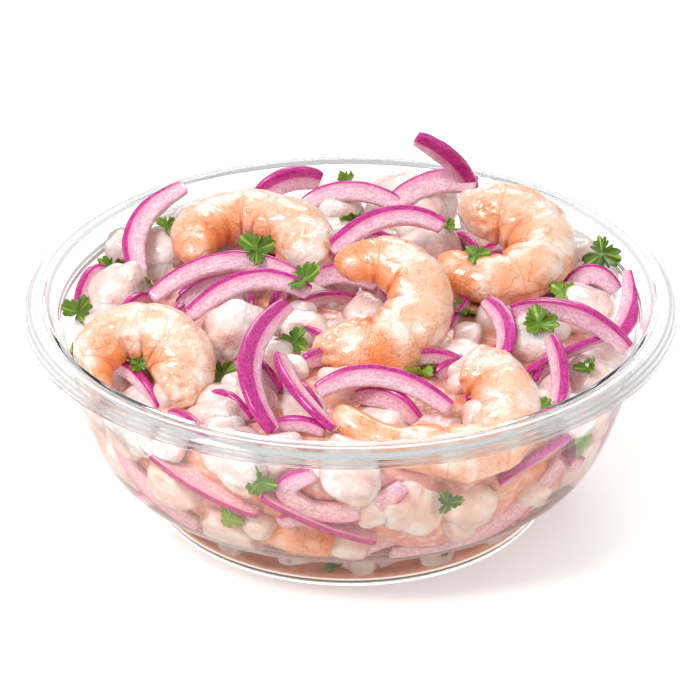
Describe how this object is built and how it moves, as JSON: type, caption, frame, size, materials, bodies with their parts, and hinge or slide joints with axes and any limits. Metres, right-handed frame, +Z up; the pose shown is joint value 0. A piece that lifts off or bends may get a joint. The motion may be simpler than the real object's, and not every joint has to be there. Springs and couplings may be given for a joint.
{
  "type": "bowl of ceviche",
  "caption": "Clear plastic salad bowl filled with ceviche: curled pink shrimps, white fish chunks, red onion slivers and cilantro in their juice.",
  "frame": {"origin": "on the surface it stands on, under the middle of the bowl", "axes": "+Z up, -Y towards the viewer of the picture, +X to the viewer's right"},
  "size_m": [0.184, 0.184, 0.0858],
  "materials": {
    "clear_plastic": "clear gloss thermoformed PET",
    "shrimp_flesh": "moist cooked shrimp, cream with orange bands",
    "red_onion": "wet pickled onion, pink flesh and magenta skin",
    "marinated_mix": "wet translucent fish with onion, leaves and juice"
  },
  "bodies": {
    "root": {"bowl": "clear_plastic", "ceviche_heap": "marinated_mix", "shrimp_back_left": "shrimp_flesh", "shrimp_centre": "shrimp_flesh", "shrimp_back_right": "shrimp_flesh", "shrimp_front_left": "shrimp_flesh", "shrimp_front_right": "shrimp_flesh", "shrimp_low_front": "shrimp_flesh", "shrimp_low_right": "shrimp_flesh", "onion_01": "red_onion", "onion_02": "red_onion", "onion_03": "red_onion", "onion_04": "red_onion", "onion_05": "red_onion", "onion_06": "red_onion", "onion_07": "red_onion", "onion_08": "red_onion", "onion_09": "red_onion", "onion_10": "red_onion", "onion_11": "red_onion", "onion_12": "red_onion", "onion_13": "red_onion"}
  },
  "joints": []
}
